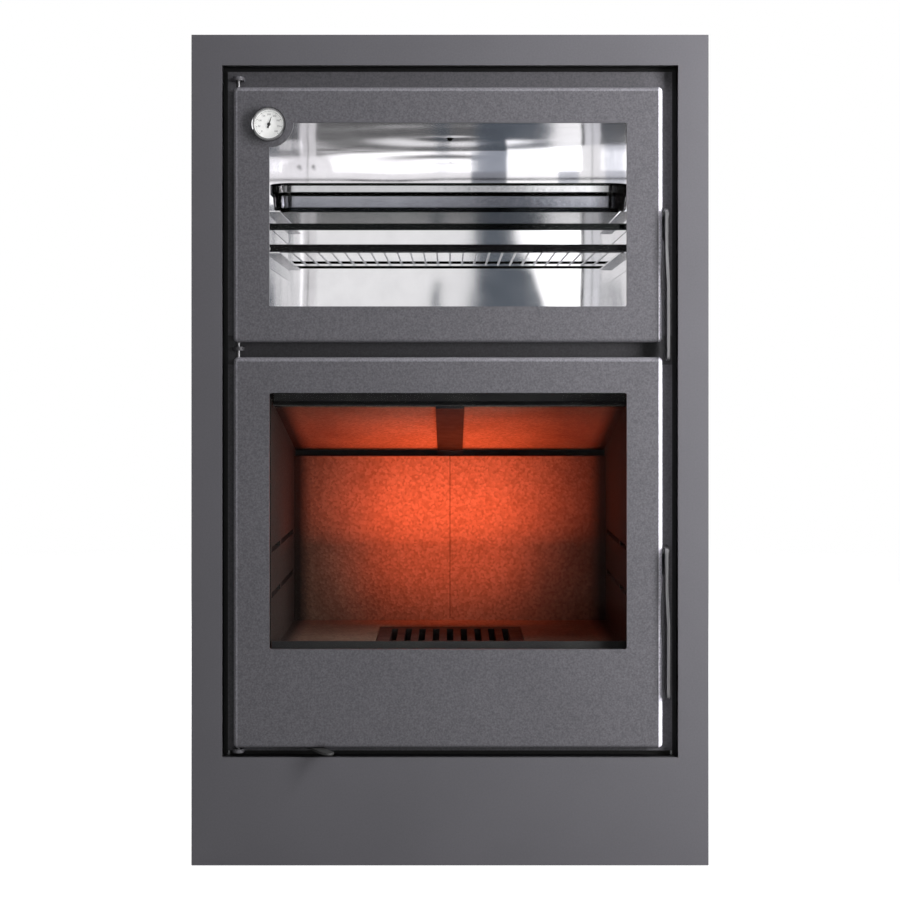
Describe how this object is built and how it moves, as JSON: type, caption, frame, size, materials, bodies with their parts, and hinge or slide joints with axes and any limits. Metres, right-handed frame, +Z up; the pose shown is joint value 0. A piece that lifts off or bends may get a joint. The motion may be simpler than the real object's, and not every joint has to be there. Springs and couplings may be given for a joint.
{
  "type": "fireplace insert",
  "caption": "Wood-burning fireplace insert with a glazed oven door over a glazed fire door, blade handles, dial thermometer, air lever and a flush trim frame.",
  "frame": {"origin": "centre of the underside of the casing base", "axes": "+Z up, +Y into the wall away from the doors, +X to the right seen from the front"},
  "size_m": [0.724, 0.557, 1.163],
  "materials": {
    "trim_paint": "fine textured grey stove paint",
    "door_paint": "speckled textured grey stove paint",
    "face_paint": "matt dark grey stove paint",
    "casing_steel": "galvanised sheet",
    "body_steel": "matt black heat-resistant paint",
    "oven_stainless": "polished stainless sheet",
    "rack_wire": "chromed wires on dark cross bars",
    "tray_steel": "polished dark steel sheet",
    "cast_grate": "raw casting",
    "refractory": "matt vermiculite board",
    "door_glass": "clear ceramic glass",
    "rope_seal": "braided glass-fibre rope",
    "glass_gasket": "flat glass-fibre tape",
    "handle_steel": "satin steel bar",
    "plain_steel": "plain steel",
    "dial_chrome": "polished chrome",
    "dial_face": "white enamel with grey ticks",
    "dial_lens": "clear glass",
    "dial_needle": "black"
  },
  "bodies": {
    "casing": {"air_inlet_spigot": "casing_steel", "air_lever_pivot": "plain_steel", "air_wash_deflector": "body_steel", "ash_chamber": "body_steel", "ash_pan": "body_steel", "baffle_bracket": "body_steel", "baffle_left": "refractory", "baffle_right": "refractory", "body_back": "body_steel", "body_floor": "body_steel", "body_left_side": "body_steel", "body_legs": "body_steel", "body_right_side": "body_steel", "body_top": "body_steel", "casing_back": "casing_steel", "casing_base": "casing_steel", "casing_left_side": "casing_steel", "casing_right_side": "casing_steel", "casing_top": "casing_steel", "face_plate": "face_paint", "firebox_floor": "refractory", "flue_collar": "body_steel", "grate": "cast_grate", "hinge_ears": "face_paint", "hinge_pins": "plain_steel", "latch_keepers": "face_paint", "lining_back_left": "refractory", "lining_back_right": "refractory", "lining_left": "refractory", "lining_right": "refractory", "log_lip": "body_steel", "oven_box": "oven_stainless", "oven_ceiling_bolt": "body_steel", "oven_rack": "rack_wire", "oven_runners": "body_steel", "oven_tray": "tray_steel", "trim_brackets": "casing_steel", "trim_frame": "trim_paint"},
    "oven_door": {"oven_door_frame": "door_paint", "oven_glass": "door_glass", "oven_glass_gasket": "glass_gasket", "oven_glass_clips": "plain_steel", "oven_door_seal": "rope_seal", "thermometer_case": "dial_chrome", "thermometer_dial": "dial_face", "thermometer_lens": "dial_lens", "thermometer_stem": "dial_chrome", "thermometer_nut": "dial_chrome"},
    "fire_door": {"fire_door_frame": "door_paint", "fire_glass": "door_glass", "fire_glass_gasket": "glass_gasket", "fire_glass_clips": "plain_steel", "fire_door_seal": "rope_seal"},
    "oven_handle": {"oven_handle": "handle_steel", "oven_handle_spindle": "plain_steel"},
    "fire_handle": {"fire_handle": "handle_steel", "fire_handle_spindle": "plain_steel"},
    "dial_needle": {"thermometer_needle": "dial_needle"},
    "air_control": {"air_lever": "body_steel", "air_shutter": "plain_steel"}
  },
  "joints": [
    {"name": "oven_door_hinge", "type": "hinge", "parent": "casing", "child": "oven_door", "pos_m": [-0.2973, -0.2395, 0.911], "axis": [0, 0, -1], "range_deg": [0, 115]},
    {"name": "fire_door_hinge", "type": "hinge", "parent": "casing", "child": "fire_door", "pos_m": [-0.2973, -0.2395, 0.43825], "axis": [0, 0, -1], "range_deg": [0, 115]},
    {"name": "oven_handle_pivot", "type": "hinge", "parent": "oven_door", "child": "oven_handle", "pos_m": [0.302, -0.2425, 0.911], "axis": [-1, 0, 0], "range_deg": [0, 50]},
    {"name": "fire_handle_pivot", "type": "hinge", "parent": "fire_door", "child": "fire_handle", "pos_m": [0.302, -0.2425, 0.43825], "axis": [-1, 0, 0], "range_deg": [0, 50]},
    {"name": "dial_needle_pivot", "type": "hinge", "parent": "oven_door", "child": "dial_needle", "pos_m": [-0.2528, -0.2555, 1.0365], "axis": [0, 1, 0], "range_deg": [-148, 122], "stiffness_Nm_per_rad": 0.001},
    {"name": "air_lever_pivot", "type": "hinge", "parent": "casing", "child": "air_control", "pos_m": [-0.225, -0.1775, 0.1625], "axis": [0, 0, -1], "range_deg": [0, 45]}
  ]
}
